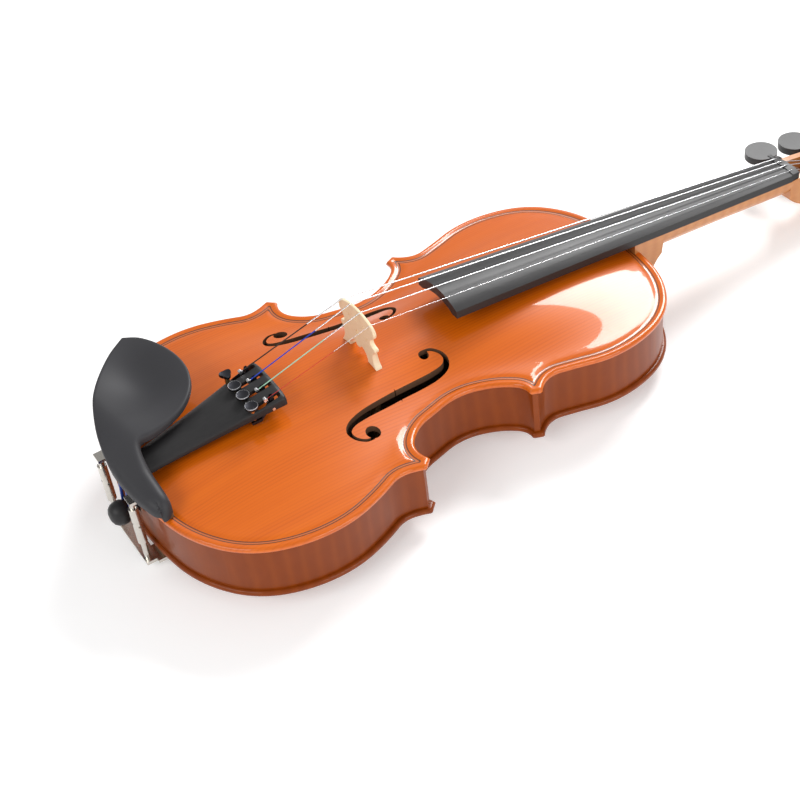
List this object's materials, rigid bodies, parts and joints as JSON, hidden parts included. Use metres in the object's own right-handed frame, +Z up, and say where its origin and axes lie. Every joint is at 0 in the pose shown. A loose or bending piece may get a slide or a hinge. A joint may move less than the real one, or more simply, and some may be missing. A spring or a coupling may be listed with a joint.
{
  "type": "violin",
  "caption": "Full-size violin with bridge, strings, a tailpiece with built-in fine tuners, and a side-mounted chinrest on a turnbuckle clamp.",
  "frame": {"origin": "middle of the whole violin in plan, on the bench that its back rests on", "axes": "+Y from the tail towards the scroll, +Z up out of the top, +X towards the treble side"},
  "size_m": [0.208, 0.6029, 0.095],
  "materials": {
    "varnished_spruce": "glossy orange-brown varnish over straight spruce grain",
    "varnished_maple": "glossy orange-brown varnish over maple",
    "purfling": "dark inlaid strip",
    "bare_spruce": "bare planed spruce",
    "neck_maple": "varnished head, thinly oiled pale shaft",
    "bridge_maple": "scraped pale maple",
    "blackened_wood": "satin black, oiled",
    "black_moulding": "fine matte black",
    "black_metal": "black finish with bright worn rims",
    "brass": "bright turned brass",
    "string_steel": "flat wound silvery wire",
    "blue_gut": "dark blue braided cord",
    "nickel": "nickel plate",
    "cork": "natural cork"
  },
  "bodies": {
    "root": {"top_plate": "varnished_spruce", "back_plate": "varnished_maple", "top_purfling": "purfling", "back_purfling": "purfling", "lower_rib_treble": "varnished_maple", "lower_rib_bass": "varnished_maple", "waist_rib_treble": "varnished_maple", "waist_rib_bass": "varnished_maple", "upper_rib_treble": "varnished_maple", "upper_rib_bass": "varnished_maple", "top_linings": "bare_spruce", "back_linings": "bare_spruce", "tail_block": "bare_spruce", "neck_block": "bare_spruce", "lower_corner_block_treble": "bare_spruce", "lower_corner_block_bass": "bare_spruce", "upper_corner_block_treble": "bare_spruce", "upper_corner_block_bass": "bare_spruce", "bass_bar": "bare_spruce", "sound_post": "bare_spruce", "neck_and_scroll": "neck_maple", "fingerboard": "blackened_wood", "nut": "blackened_wood", "saddle": "blackened_wood", "end_button": "blackened_wood", "tailgut": "blue_gut", "tailpiece": "black_moulding", "tuner_axle": "string_steel", "bridge": "bridge_maple", "chinrest": "blackened_wood", "chinrest_cork": "cork", "clamp_hooks": "nickel", "g_string": "string_steel", "d_string": "string_steel", "a_string": "string_steel", "e_string": "string_steel"},
    "g_peg": {"g_peg": "blackened_wood", "g_winding": "string_steel"},
    "d_peg": {"d_peg": "blackened_wood", "d_winding": "string_steel"},
    "a_peg": {"a_peg": "blackened_wood", "a_winding": "string_steel"},
    "e_peg": {"e_peg": "blackened_wood", "e_winding": "string_steel"},
    "g_tuner_shank": {"g_tuner_shank": "brass"},
    "g_tuner_head": {"g_tuner_head": "black_metal"},
    "g_tuner_lever": {"g_tuner_lever": "black_metal"},
    "d_tuner_shank": {"d_tuner_shank": "brass"},
    "d_tuner_head": {"d_tuner_head": "black_metal"},
    "d_tuner_lever": {"d_tuner_lever": "black_metal"},
    "a_tuner_shank": {"a_tuner_shank": "brass"},
    "a_tuner_head": {"a_tuner_head": "black_metal"},
    "a_tuner_lever": {"a_tuner_lever": "black_metal"},
    "e_tuner_shank": {"e_tuner_shank": "brass"},
    "e_tuner_head": {"e_tuner_head": "black_metal"},
    "e_tuner_lever": {"e_tuner_lever": "black_metal"},
    "clamp_barrel_bass": {"clamp_barrel_bass": "nickel"},
    "clamp_barrel_treble": {"clamp_barrel_treble": "nickel"},
    "clamp_foot": {"clamp_foot": "nickel", "clamp_foot_cork": "cork"}
  },
  "joints": [
    {"name": "g_peg_turn", "type": "hinge", "parent": "root", "child": "g_peg", "pos_m": [0, 0.22, 0.02845], "axis": [1, 0, 0], "continuous": true},
    {"name": "d_peg_turn", "type": "hinge", "parent": "root", "child": "d_peg", "pos_m": [0, 0.249, 0.02525], "axis": [1, 0, 0], "continuous": true},
    {"name": "a_peg_turn", "type": "hinge", "parent": "root", "child": "a_peg", "pos_m": [0, 0.263, 0.02371], "axis": [1, 0, 0], "continuous": true},
    {"name": "e_peg_turn", "type": "hinge", "parent": "root", "child": "e_peg", "pos_m": [0, 0.234, 0.0269], "axis": [1, 0, 0], "continuous": true},
    {"name": "g_tuner_travel", "type": "slide", "parent": "root", "child": "g_tuner_shank", "axis": [0, 0, 1], "range_m": [-0.00315, 0.0005]},
    {"name": "g_tuner_turn", "type": "hinge", "parent": "g_tuner_shank", "child": "g_tuner_head", "pos_m": [-0.0153, -0.209, 0.07245], "axis": [0, 0, 1], "range_deg": [-2268, 360]},
    {"name": "g_tuner_rock", "type": "hinge", "parent": "root", "child": "g_tuner_lever", "pos_m": [-0.0153, -0.1975, 0.06895], "axis": [-1, 0, 0], "range_deg": [-15.71, 2.51]},
    {"name": "d_tuner_travel", "type": "slide", "parent": "root", "child": "d_tuner_shank", "axis": [0, 0, 1], "range_m": [-0.0006, 0.00305]},
    {"name": "d_tuner_turn", "type": "hinge", "parent": "d_tuner_shank", "child": "d_tuner_head", "pos_m": [-0.0051, -0.209, 0.07371], "axis": [0, 0, 1], "range_deg": [-432, 2196]},
    {"name": "d_tuner_rock", "type": "hinge", "parent": "root", "child": "d_tuner_lever", "pos_m": [-0.0051, -0.1975, 0.06895], "axis": [-1, 0, 0], "range_deg": [-3.01, 15.22]},
    {"name": "a_tuner_travel", "type": "slide", "parent": "root", "child": "a_tuner_shank", "axis": [0, 0, 1], "range_m": [-0.0006, 0.00305]},
    {"name": "a_tuner_turn", "type": "hinge", "parent": "a_tuner_shank", "child": "a_tuner_head", "pos_m": [0.0051, -0.209, 0.07371], "axis": [0, 0, 1], "range_deg": [-432, 2196]},
    {"name": "a_tuner_rock", "type": "hinge", "parent": "root", "child": "a_tuner_lever", "pos_m": [0.0051, -0.1975, 0.06895], "axis": [-1, 0, 0], "range_deg": [-3.01, 15.22]},
    {"name": "e_tuner_travel", "type": "slide", "parent": "root", "child": "e_tuner_shank", "axis": [0, 0, 1], "range_m": [-0.0006, 0.00305]},
    {"name": "e_tuner_turn", "type": "hinge", "parent": "e_tuner_shank", "child": "e_tuner_head", "pos_m": [0.0153, -0.209, 0.07245], "axis": [0, 0, 1], "range_deg": [-432, 2196]},
    {"name": "e_tuner_rock", "type": "hinge", "parent": "root", "child": "e_tuner_lever", "pos_m": [0.0153, -0.1975, 0.06895], "axis": [-1, 0, 0], "range_deg": [-3.01, 15.22]},
    {"name": "clamp_bass_turn", "type": "hinge", "parent": "root", "child": "clamp_barrel_bass", "pos_m": [-0.025, -0.2913, 0.02], "axis": [0, 0, 1], "range_deg": [0, 2160]},
    {"name": "clamp_treble_turn", "type": "hinge", "parent": "root", "child": "clamp_barrel_treble", "pos_m": [0.018, -0.2913, 0.02], "axis": [0, 0, 1], "range_deg": [0, 2160]},
    {"name": "clamp_foot_travel", "type": "slide", "parent": "root", "child": "clamp_foot", "axis": [0, 0, -1], "range_m": [0, 0.0042]}
  ],
  "couplings": [
    {"joint": "g_tuner_turn", "follows": "g_tuner_travel", "rad_per_m": 12566},
    {"joint": "g_tuner_rock", "follows": "g_tuner_travel", "rad_per_m": 86.95},
    {"joint": "d_tuner_turn", "follows": "d_tuner_travel", "rad_per_m": 12566},
    {"joint": "d_tuner_rock", "follows": "d_tuner_travel", "rad_per_m": 86.95},
    {"joint": "a_tuner_turn", "follows": "a_tuner_travel", "rad_per_m": 12566},
    {"joint": "a_tuner_rock", "follows": "a_tuner_travel", "rad_per_m": 86.95},
    {"joint": "e_tuner_turn", "follows": "e_tuner_travel", "rad_per_m": 12566},
    {"joint": "e_tuner_rock", "follows": "e_tuner_travel", "rad_per_m": 86.95},
    {"joint": "clamp_treble_turn", "follows": "clamp_foot_travel", "rad_per_m": 8975},
    {"joint": "clamp_bass_turn", "follows": "clamp_foot_travel", "rad_per_m": 8975}
  ]
}
